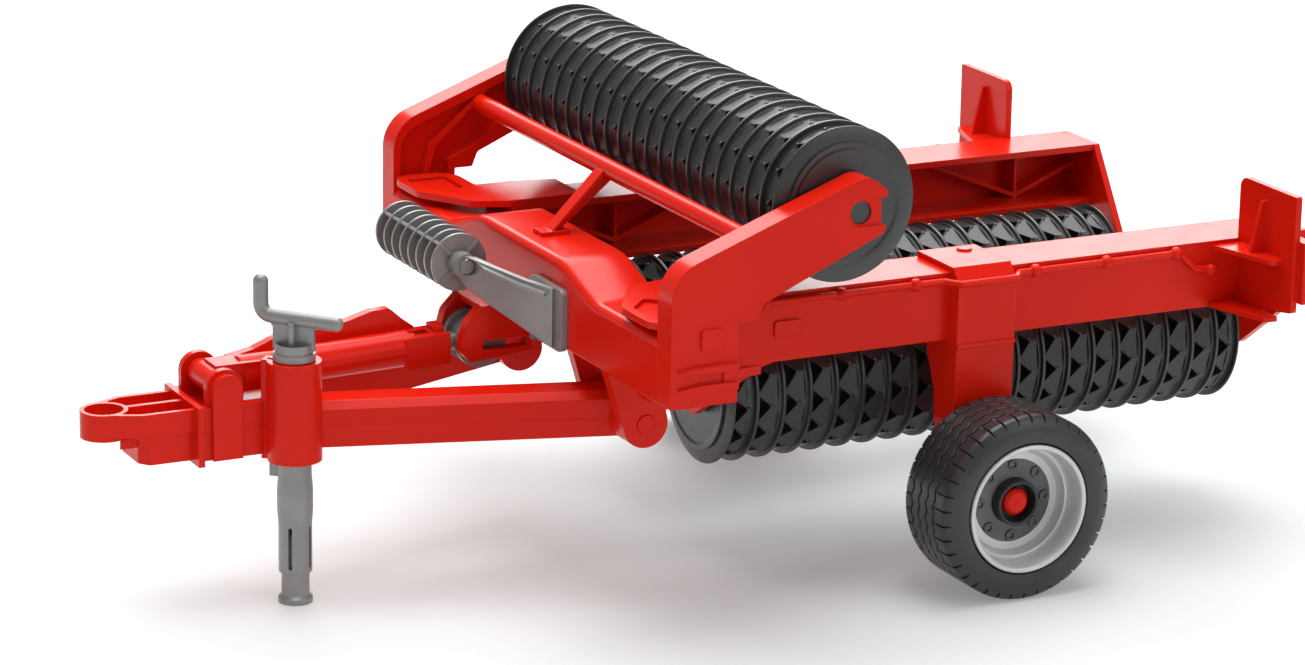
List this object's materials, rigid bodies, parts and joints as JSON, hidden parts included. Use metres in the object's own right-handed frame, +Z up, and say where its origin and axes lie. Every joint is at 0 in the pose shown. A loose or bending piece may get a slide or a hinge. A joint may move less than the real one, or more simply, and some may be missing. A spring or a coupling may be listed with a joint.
{
  "type": "folding ring roller",
  "caption": "Scale-model folding ring roller with its wings folded back, and a drawbar with jack, lift cylinder and road wheels.",
  "frame": {"origin": "middle of the footprint, on the ground", "axes": "+X forward to the hitch eye, +Y to the left of the machine, +Z up"},
  "size_m": [0.3932, 0.2188, 0.1545],
  "materials": {
    "red_plastic": "glossy injection-moulded plastic",
    "grey_plastic": "satin injection-moulded plastic",
    "charcoal_plastic": "satin, finely grained moulded plastic",
    "tyre_rubber": "soft matt tyre with moulded tread",
    "silver_plastic": "silver-coloured moulded plastic",
    "black_plastic": "glossy black moulded plastic"
  },
  "bodies": {
    "drawbar": {"drawbar_upper_shell": "red_plastic", "drawbar_lower_shell": "red_plastic", "cylinder_front_pin": "red_plastic", "left_frame_hinge_pin": "red_plastic", "right_frame_hinge_pin": "red_plastic"},
    "jack": {"jack_leg": "grey_plastic", "jack_crank": "grey_plastic", "jack_foot": "grey_plastic"},
    "cylinder_barrel": {"cylinder_barrel": "red_plastic"},
    "cylinder_rod": {"cylinder_rod": "grey_plastic", "rod_eye_pin": "grey_plastic"},
    "main_frame": {"crossbeam": "red_plastic", "cylinder_bracket": "red_plastic", "cross_tube": "red_plastic", "strut": "red_plastic", "reel_bracket": "grey_plastic", "reel_pin": "grey_plastic", "left_hinge_fork": "red_plastic", "right_hinge_fork": "red_plastic", "left_roller_arm": "red_plastic", "right_roller_arm": "red_plastic"},
    "reel": {"ribbed_reel": "grey_plastic"},
    "centre_roller": {"centre_roller_rings": "charcoal_plastic", "centre_roller_end_caps": "charcoal_plastic", "centre_roller_axle": "charcoal_plastic"},
    "left_wing": {"left_wing_beam": "red_plastic", "left_wing_back_plate": "red_plastic", "left_wing_front_plate": "red_plastic", "left_wing_hinge_pin": "red_plastic", "left_hose_line": "red_plastic", "left_marker_board": "red_plastic", "left_wheel_bracket": "red_plastic", "left_wheel_axle": "grey_plastic"},
    "left_roller": {"left_wing_roller_rings": "charcoal_plastic", "left_wing_roller_end_caps": "charcoal_plastic", "left_wing_roller_axle": "charcoal_plastic"},
    "left_wheel": {"left_tyre": "tyre_rubber", "left_rim": "silver_plastic", "left_wheel_hub": "black_plastic", "left_hub_cap": "red_plastic"},
    "right_wing": {"right_wing_beam": "red_plastic", "right_wing_back_plate": "red_plastic", "right_wing_front_plate": "red_plastic", "right_wing_hinge_pin": "red_plastic", "right_hose_line": "red_plastic", "right_marker_board": "red_plastic", "right_wheel_bracket": "red_plastic", "right_wheel_axle": "grey_plastic"},
    "right_roller": {"right_wing_roller_rings": "charcoal_plastic", "right_wing_roller_end_caps": "charcoal_plastic", "right_wing_roller_axle": "charcoal_plastic"},
    "right_wheel": {"right_tyre": "tyre_rubber", "right_rim": "silver_plastic", "right_wheel_hub": "black_plastic", "right_hub_cap": "red_plastic"}
  },
  "joints": [
    {"name": "frame_tilt", "type": "hinge", "parent": "drawbar", "child": "main_frame", "pos_m": [0.03545, 0, 0.057], "axis": [0, -1, 0], "range_deg": [0, 90]},
    {"name": "jack_slide", "type": "slide", "parent": "drawbar", "child": "jack", "axis": [0, 0, 1], "range_m": [0, 0.04]},
    {"name": "barrel_swivel", "type": "hinge", "parent": "drawbar", "child": "cylinder_barrel", "pos_m": [0.15465, 0, 0.0695], "axis": [0, 1, 0], "range_deg": [0, 6.26]},
    {"name": "rod_slide", "type": "slide", "parent": "cylinder_barrel", "child": "cylinder_rod", "axis": [-0.9994, 0, 0.0351], "range_m": [0, 0.0482]},
    {"name": "centre_roller_spin", "type": "hinge", "parent": "main_frame", "child": "centre_roller", "pos_m": [-0.01185, 0, 0.1304], "axis": [0, 1, 0], "continuous": true},
    {"name": "reel_spin", "type": "hinge", "parent": "main_frame", "child": "reel", "pos_m": [0.07185, -0.0212, 0.0977], "axis": [0, 1, 0], "continuous": true},
    {"name": "left_wing_fold", "type": "hinge", "parent": "main_frame", "child": "left_wing", "pos_m": [0.04035, 0.0885, 0.087], "axis": [0, 0, -1], "range_deg": [0, 90]},
    {"name": "left_roller_spin", "type": "hinge", "parent": "left_wing", "child": "left_roller", "pos_m": [-0.08935, 0.0345, 0.058], "axis": [1, 0, 0], "continuous": true},
    {"name": "left_wheel_spin", "type": "hinge", "parent": "left_wing", "child": "left_wheel", "pos_m": [-0.07325, 0.0949, 0.03], "axis": [0, 1, 0], "continuous": true},
    {"name": "right_wing_fold", "type": "hinge", "parent": "main_frame", "child": "right_wing", "pos_m": [0.04035, -0.0885, 0.087], "axis": [0, 0, 1], "range_deg": [0, 90]},
    {"name": "right_roller_spin", "type": "hinge", "parent": "right_wing", "child": "right_roller", "pos_m": [-0.08935, -0.0345, 0.058], "axis": [1, 0, 0], "continuous": true},
    {"name": "right_wheel_spin", "type": "hinge", "parent": "right_wing", "child": "right_wheel", "pos_m": [-0.07325, -0.0949, 0.03], "axis": [0, 1, 0], "continuous": true}
  ],
  "couplings": [
    {"joint": "barrel_swivel", "follows": "frame_tilt", "ratio": 0.064023},
    {"joint": "rod_slide", "follows": "frame_tilt", "m_per_rad": 0.030364}
  ]
}
